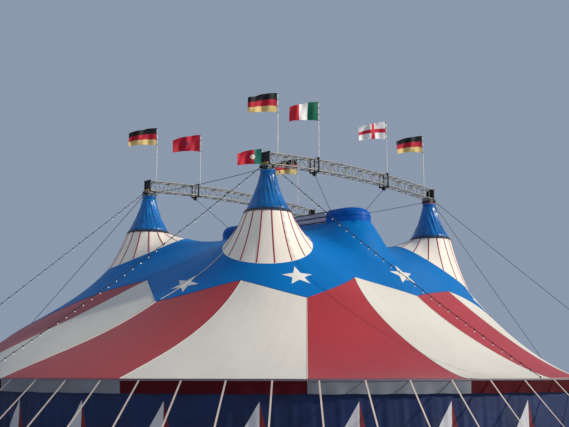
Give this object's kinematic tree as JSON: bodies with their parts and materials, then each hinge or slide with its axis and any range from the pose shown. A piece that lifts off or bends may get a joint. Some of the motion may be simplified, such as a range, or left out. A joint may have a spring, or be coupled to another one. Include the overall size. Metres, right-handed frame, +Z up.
{
  "type": "circus big top tent, 1:2 scale model",
  "caption": "Round circus big top on four masts, with striped gores, blue zigzag crown, cream cones, hooded mast tops, two trusses with flags, a long cupola and guy straps",
  "frame": {"origin": "on the ground at the middle of the tent, the middle of the underside of the bounding box", "axes": "+Z up, +X along the two trusses towards the east masts, +Y towards the north truss"},
  "size_m": [23.05, 22.0184, 9.209],
  "materials": {
    "white_fabric": "coated canopy fabric, off-white, satin",
    "red_fabric": "coated canopy fabric, weathered red, satin",
    "blue_fabric": "coated canopy fabric, blue, satin",
    "cream_fabric": "coated canopy fabric, cream with dark red piping",
    "blue_tarpaulin": "glossy creased blue tarpaulin",
    "mauve_fabric": "layered grey-mauve curtain fabric",
    "navy_fabric": "dark blue side wall fabric with tall pale and red spikes",
    "flag_cloth": "thin woven flag cloth in plain colour bands",
    "galvanised_steel": "grey painted steel masts",
    "truss_aluminium": "dull light grey aluminium truss with black clamp frames",
    "strap_webbing": "pale polyester webbing and steel stakes",
    "steel_cable": "stranded steel cable with string lights"
  },
  "bodies": {
    "root": {"white_gore_1": "white_fabric", "red_gore_1": "red_fabric", "white_gore_2": "white_fabric", "red_gore_2": "red_fabric", "white_gore_3": "white_fabric", "red_gore_3": "red_fabric", "white_gore_4": "white_fabric", "red_gore_4": "red_fabric", "white_gore_5": "white_fabric", "red_gore_5": "red_fabric", "white_gore_6": "white_fabric", "red_gore_6": "red_fabric", "white_gore_7": "white_fabric", "red_gore_7": "red_fabric", "white_gore_8": "white_fabric", "red_gore_8": "red_fabric", "blue_crown": "blue_fabric", "cone_south_west": "cream_fabric", "hood_south_west": "blue_tarpaulin", "mast_south_west": "galvanised_steel", "cone_north_west": "cream_fabric", "hood_north_west": "blue_tarpaulin", "mast_north_west": "galvanised_steel", "cone_south_east": "cream_fabric", "hood_south_east": "blue_tarpaulin", "mast_south_east": "galvanised_steel", "cone_north_east": "cream_fabric", "hood_north_east": "blue_tarpaulin", "mast_north_east": "galvanised_steel", "truss_south": "truss_aluminium", "flag_south_1": "flag_cloth", "flag_south_2": "flag_cloth", "flag_south_3": "flag_cloth", "flag_south_4": "flag_cloth", "truss_north": "truss_aluminium", "flag_north_1": "flag_cloth", "flag_north_2": "flag_cloth", "flag_north_3": "flag_cloth", "flag_north_4": "flag_cloth", "cupola_ridge": "mauve_fabric", "cupola_drum_south": "blue_fabric", "cupola_drum_north": "blue_fabric", "wall_east": "navy_fabric", "wall_west": "navy_fabric", "guys_quarter_1": "strap_webbing", "guys_quarter_2": "strap_webbing", "guys_quarter_3": "strap_webbing", "guys_quarter_4": "strap_webbing", "stay_north_west_1": "steel_cable", "stay_south_east_1": "steel_cable", "stay_north_west_2": "steel_cable", "stay_south_east_2": "steel_cable", "festoon_south_west_3": "steel_cable", "festoon_north_east_3": "steel_cable", "festoon_south_west_4": "steel_cable", "festoon_north_east_4": "steel_cable", "tie_west": "steel_cable", "tie_east": "steel_cable"}
  },
  "joints": []
}
